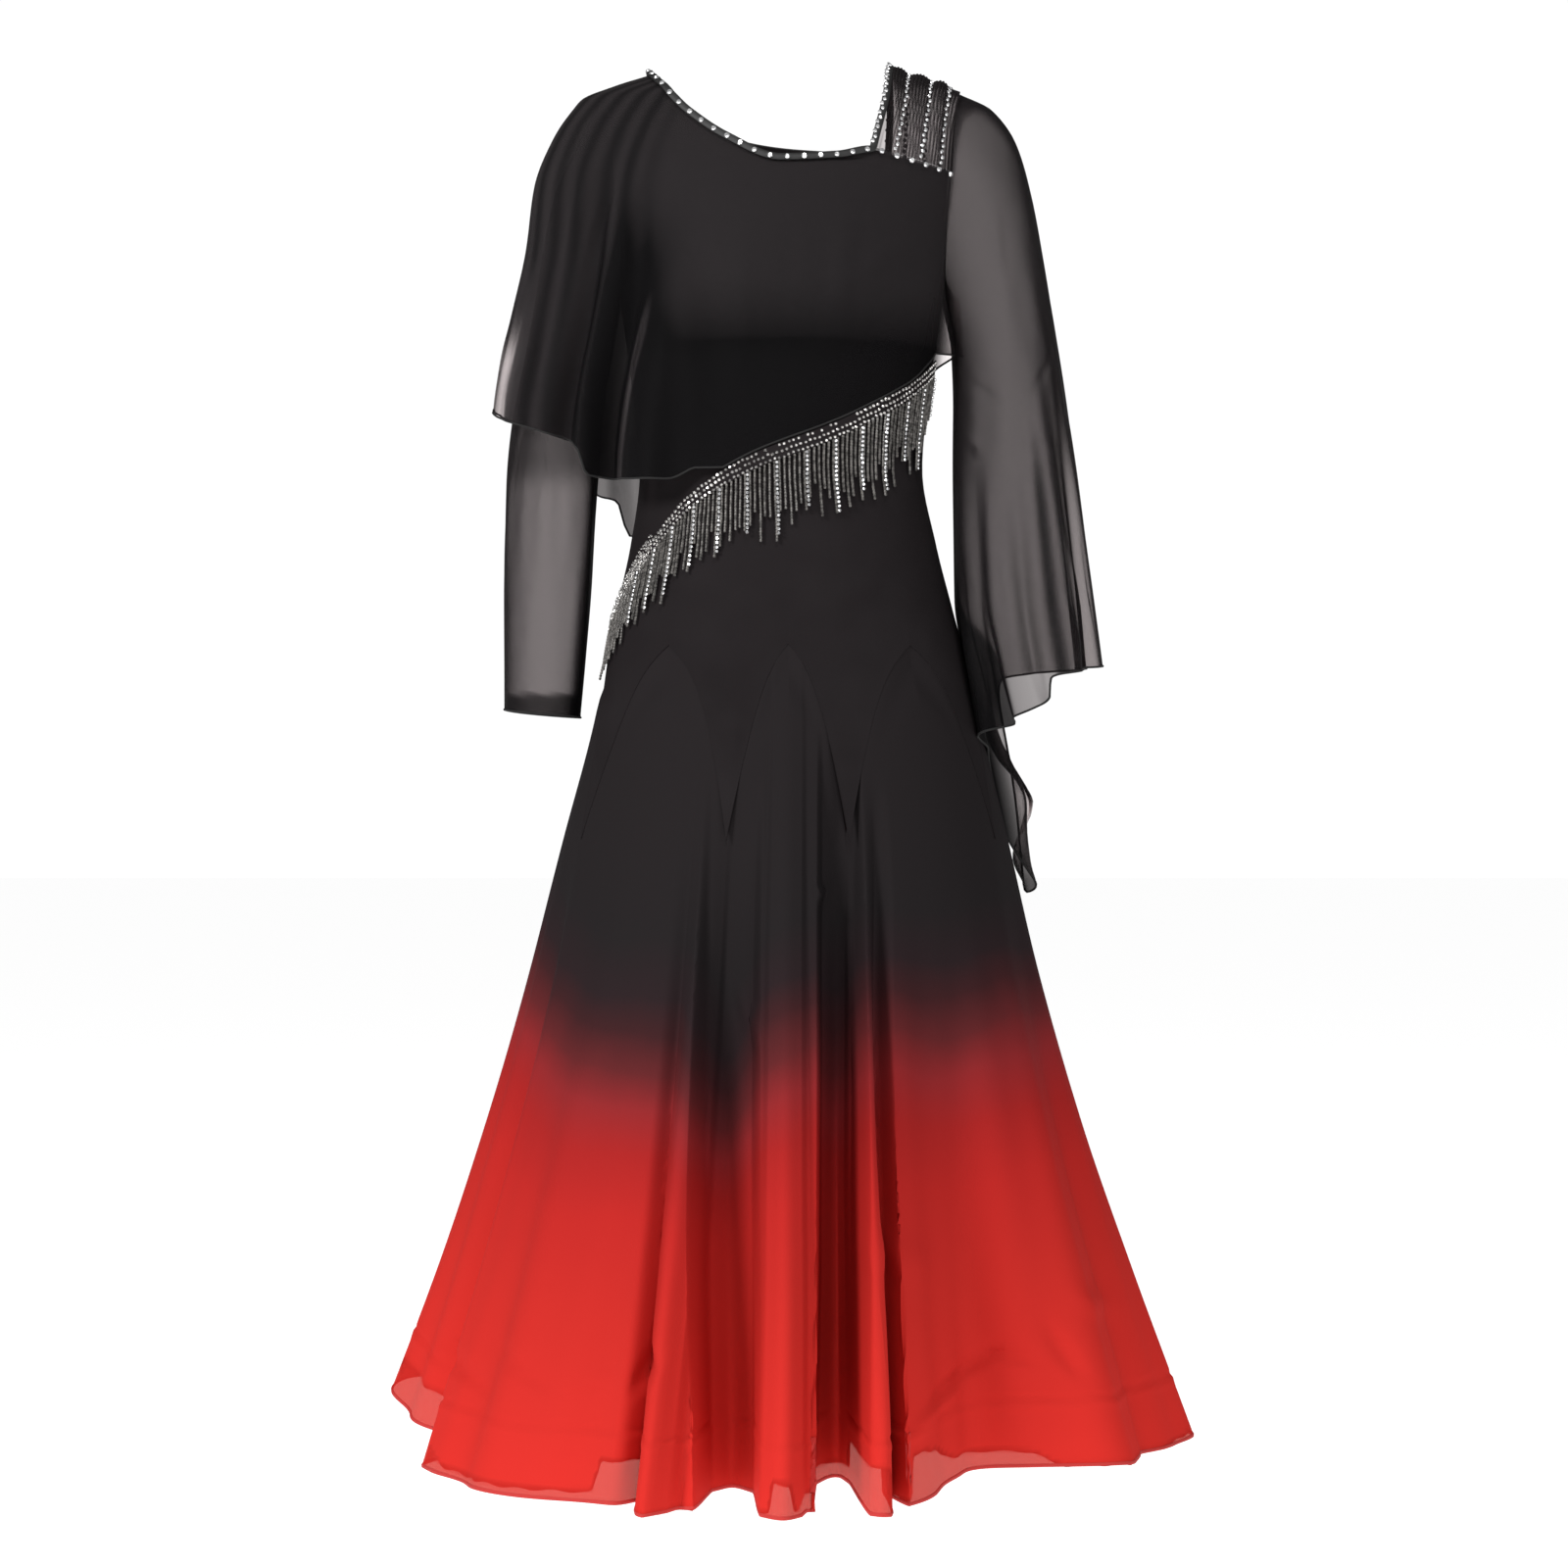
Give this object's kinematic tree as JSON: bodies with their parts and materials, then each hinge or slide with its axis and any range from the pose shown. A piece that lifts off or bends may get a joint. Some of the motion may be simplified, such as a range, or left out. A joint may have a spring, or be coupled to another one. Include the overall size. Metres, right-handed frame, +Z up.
{
  "type": "ballroom dance dress",
  "caption": "Long ballroom dance dress, asymmetric sheer drape, slanting beaded fringe at the waist, one fitted and one bell sleeve, flared panelled skirt with an ombre.",
  "frame": {"origin": "midway between the two points where the neckline meets the shoulders, level with them; a wearer's shoulders hold the dress there", "axes": "+X to the wearer's left, -Y to the wearer's front, +Z up the wearer's body"},
  "size_m": [0.6881, 0.7337, 1.1777],
  "materials": {
    "stretch_crepe": "matt stretch crepe",
    "ombre_crepe": "matt crepe georgette dyed from black above to red below",
    "black_chiffon": "sheer chiffon",
    "stretch_mesh": "sheer stretch mesh",
    "binding": "satin bias binding",
    "crin_braid": "stiff woven nylon braid",
    "bead_fringe": "glass beads and foiled crystals on thread"
  },
  "bodies": {
    "root": {"bodice_back": "stretch_crepe", "bodice_front": "stretch_crepe", "drape_back": "black_chiffon", "drape_front": "black_chiffon", "hem_braid": "crin_braid", "neck_binding": "binding", "shoulder_mesh": "stretch_mesh", "skirt_back": "ombre_crepe", "skirt_front": "ombre_crepe", "skirt_left_back": "ombre_crepe", "skirt_left_front": "ombre_crepe", "skirt_left_side": "ombre_crepe", "skirt_right_back": "ombre_crepe", "skirt_right_front": "ombre_crepe", "skirt_right_side": "ombre_crepe", "sleeve_left": "stretch_mesh", "sleeve_right": "stretch_mesh", "waist_fringe": "bead_fringe", "yoke_back": "stretch_crepe", "yoke_front": "stretch_crepe"}
  },
  "joints": []
}
